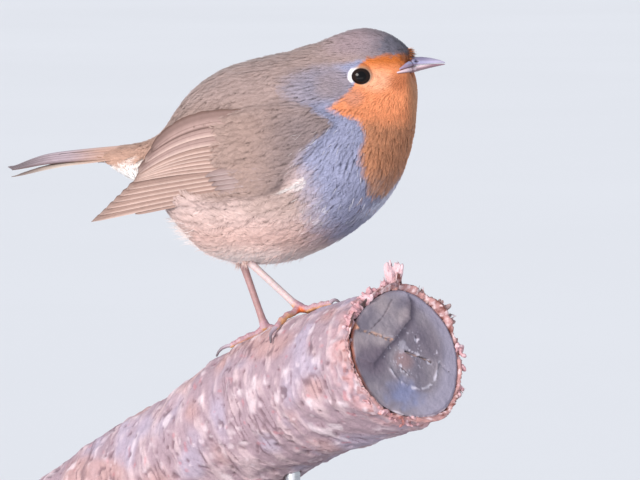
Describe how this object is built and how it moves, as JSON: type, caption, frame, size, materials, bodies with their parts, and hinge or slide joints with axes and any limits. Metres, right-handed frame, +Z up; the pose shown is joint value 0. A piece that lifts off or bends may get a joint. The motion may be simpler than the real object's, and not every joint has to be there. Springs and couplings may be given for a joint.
{
  "type": "robin model on a perch and display stand",
  "caption": "Life-size still model of a fluffed-out European robin gripping a short cut branch, held by two rods over a flat round base",
  "frame": {"origin": "centre of the underside of the round stand base", "axes": "+Z up, +X towards the bill (the bird is turned 10 degrees from +X towards -Y), -Y the bird's right side, which is the side shown"},
  "size_m": [0.1417, 0.1573, 0.2085],
  "materials": {
    "face_orange": "soft matt feathers, orange on the face and breast",
    "back_brown": "soft matt feathers, warm grey-brown",
    "belly_buff": "soft matt feathers, buff to white, grey-blue at the breast sides",
    "flight_brown": "smooth stiff feathers, brown with paler edges",
    "eye_black": "wet black gloss",
    "bill_horn": "smooth grey horn with a soft sheen",
    "leg_pink": "scaly pink-brown skin",
    "claw_grey": "smooth grey horn",
    "bark": "rough lumpy bark, pinkish grey",
    "cut_wood": "weathered sawn end grain, grey, with rings and cracks",
    "stand_base": "dark satin stained wood",
    "stand_steel": "brushed steel rod"
  },
  "bodies": {
    "root": {"head": "face_orange", "neck": "back_brown", "trunk": "belly_buff", "tail": "flight_brown", "wing_left": "flight_brown", "wing_right": "flight_brown", "eye_left": "eye_black", "eye_right": "eye_black", "bill_upper": "bill_horn", "bill_lower": "bill_horn", "thigh_left": "belly_buff", "thigh_right": "belly_buff", "tarsus_left": "leg_pink", "tarsus_right": "leg_pink", "toe_hallux_left": "leg_pink", "toe_inner_left": "leg_pink", "toe_middle_left": "leg_pink", "toe_outer_left": "leg_pink", "toe_hallux_right": "leg_pink", "toe_inner_right": "leg_pink", "toe_middle_right": "leg_pink", "toe_outer_right": "leg_pink", "claw_hallux_left": "claw_grey", "claw_inner_left": "claw_grey", "claw_middle_left": "claw_grey", "claw_outer_left": "claw_grey", "claw_hallux_right": "claw_grey", "claw_inner_right": "claw_grey", "claw_middle_right": "claw_grey", "claw_outer_right": "claw_grey", "perch_wood": "cut_wood", "perch_bark": "bark", "stand_base": "stand_base", "stand_rod_front": "stand_steel", "stand_rod_back": "stand_steel"}
  },
  "joints": []
}
